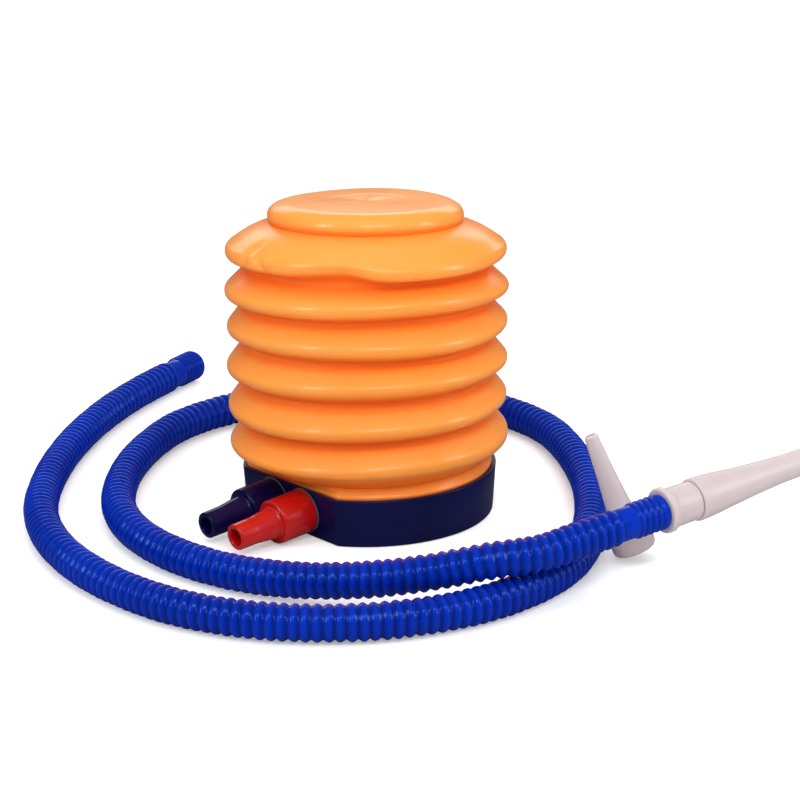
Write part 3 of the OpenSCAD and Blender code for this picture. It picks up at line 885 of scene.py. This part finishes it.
def hose_nozzle():
    """Adapter in the mouth of the hose, and the long nozzle on it."""
    mouth, axes = PATH.at(PATH.total)
    place = frame_at(mouth, axes[:, 1], axes[:, 0])
    milky_piece("nozzle_adapter", "adapter", lathe_rings(rounded(ADAPTER, steps=5)), place)
    rings = lathe_rings(rounded(LONG_NOZZLE))
    # the soft tube is a little out of round
    rings[..., 1] *= 1 + 0.012 * smooth(rings[..., 2], 20, 60)
    milky_piece("long_nozzle", "nozzle", rings, place)


def spare_nozzle():
    """Leans from the vertical, with the edge of its foot just above the floor."""
    lean, heading = math.radians(21.5), math.radians(128)
    across, up = math.sin(lean), math.cos(lean)
    z_dir = (across * math.cos(heading), across * math.sin(heading), up)
    x_dir = (up * math.cos(heading), up * math.sin(heading), -across)
    place = frame_at((39.8, -130.5, SPARE_R * across + 0.1), z_dir, x_dir)
    milky_piece("spare_nozzle", "spare", lathe_rings(rounded(SPARE_NOZZLE)), place)


pleats()
crown()
skirt()
tub()
port("outlet_port_skin", -1, "red", "outlet_port")
port("inlet_port_skin", 1, "navy_port", "inlet_port")
hose()
hose_nozzle()
spare_nozzle()

# ----------------------------------------------------------------------- stage


def studio_floor():
    half = 9
    mesh = bpy.data.meshes.new("studio_floor")
    corners = [(-half, -half, 0), (half, -half, 0), (half, half, 0), (-half, half, 0)]
    mesh.from_pydata(corners, [], [(0, 1, 2, 3)])
    floor = bpy.data.objects.new("studio_floor", mesh)
    floor.location = (0, 0, -0.0002)
    bpy.context.scene.collection.objects.link(floor)
    mat = Material("floor_pale")
    colour = mat.mix(mat.remap(mat.noise(scale=3)), (0.93, 0.93, 0.93, 1), (0.9, 0.9, 0.9, 1))
    # darker in reflections and bounced light, brighter to the camera
    rays = mat.node("LightPath").outputs
    colour = mat.mix(mat.scaled(rays["Is Glossy Ray"], by=0.9), colour, (0.06, 0.06, 0.08, 1))
    colour = mat.mix(mat.scaled(rays["Is Diffuse Ray"], by=0.25), colour, (0.25, 0.24, 0.23, 1))
    mat.set(Base_Color=colour, Roughness=0.85, Specular_IOR_Level=0.15,
            Emission_Color=(1, 1, 1, 1),
            Emission_Strength=mat.scaled(rays["Is Camera Ray"], by=0.32))
    floor.data.materials.append(mat.data)


def studio_world():
    """White surround, dimmed in reflections and plain to the camera."""
    data = bpy.data.worlds.new("studio")
    bpy.context.scene.world = data
    data.use_nodes = True
    world = Nodes(data.node_tree)
    rays = world.node("LightPath").outputs
    incoming = world.node("NewGeometry").outputs["Incoming"]
    height = world.node("SeparateXYZ", {0: incoming}).outputs["Z"]
    glow = world.remap(height, low=0.5, high=0.62, start=0.1, end=-0.9)
    # 1 - 0.8 for glossy rays
    dim = world.node("Math", {0: rays["Is Glossy Ray"], 1: -0.8, 2: 1.0},
                     operation="MULTIPLY_ADD").outputs[0]
    gain = world.scaled(glow, by=dim)
    seen_strength = 1.05
    strength = world.node("Mix", {0: rays["Is Camera Ray"], 2: gain, 3: seen_strength},
                          data_type="FLOAT").outputs[0]
    background = world.tree.nodes["Background"].inputs
    world.feed(background["Strength"], strength)
    world.feed(background["Color"], (1, 1, 1, 1))


def area(name, away, right, height, aim, width, depth, energy, shiny=True):
    """Rectangular light in metres, aimed at the pump's axis at the height aim."""
    light = bpy.data.lights.new(name, "AREA")
    light.shape = "RECTANGLE"
    light.size, light.size_y = width, depth
    light.energy = energy
    lamp = bpy.data.objects.new(name, light)
    at = Vector(AWAY) * away + Vector(RIGHT) * right + Vector((0, 0, height))
    lamp.location = at
    lamp.rotation_mode = "QUATERNION"
    lamp.rotation_quaternion = (Vector((0, 0, aim)) - at).to_track_quat("-Z", "Y")
    lamp.visible_glossy = shiny
    bpy.context.scene.collection.objects.link(lamp)


def lights():
    area("softbox_top", away=0.10, right=0, height=1.25, aim=0.05,
         width=1.5, depth=1.1, energy=6.0, shiny=False)
    area("key_front", away=-1.0, right=0.25, height=1.15, aim=0.07,
         width=0.85, depth=0.28, energy=5.0)
    area("softbox_left", away=-0.75, right=-0.95, height=0.75, aim=0.07,
         width=0.3, depth=0.6, energy=4.5)
    area("softbox_right", away=-0.25, right=1.25, height=0.55, aim=0.07,
         width=0.3, depth=0.7, energy=3.6)
    area("front_fill", away=-1.5, right=0.2, height=0.95, aim=0.06,
         width=1.0, depth=0.8, energy=6.0, shiny=False)
    area("back_sheen", away=1.3, right=0, height=0.62, aim=0.10,
         width=1.6, depth=0.4, energy=3.6)


def camera():
    distance, height = 1.2, 0.425
    pitch_down, roll = math.radians(17.38), math.radians(-1.0)
    vertical = np.array([0, 0, 1.0])
    forward = AWAY * math.cos(pitch_down) - vertical * math.sin(pitch_down)
    up = AWAY * math.sin(pitch_down) + vertical * math.cos(pitch_down)
    rolled_right = math.cos(roll) * RIGHT + math.sin(roll) * up
    rolled_up = -math.sin(roll) * RIGHT + math.cos(roll) * up
    position = -distance * AWAY + vertical * height
    rows = np.column_stack([rolled_right, rolled_up, -forward, position]).tolist()

    data = bpy.data.cameras.new("photo_camera")
    cam = bpy.data.objects.new("photo_camera", data)
    bpy.context.scene.collection.objects.link(cam)
    cam.matrix_world = Matrix(rows + [[0, 0, 0, 1]])
    data.sensor_width = 36.0
    data.lens = 125.055
    data.shift_x, data.shift_y = 0.039375, 0.0025
    data.clip_start, data.clip_end = 0.05, 60.0
    bpy.context.scene.camera = cam


studio_floor()
studio_world()
lights()
camera()

view = bpy.context.scene.view_settings
view.view_transform = "Standard"
view.look = "None"
view.exposure = 0.0
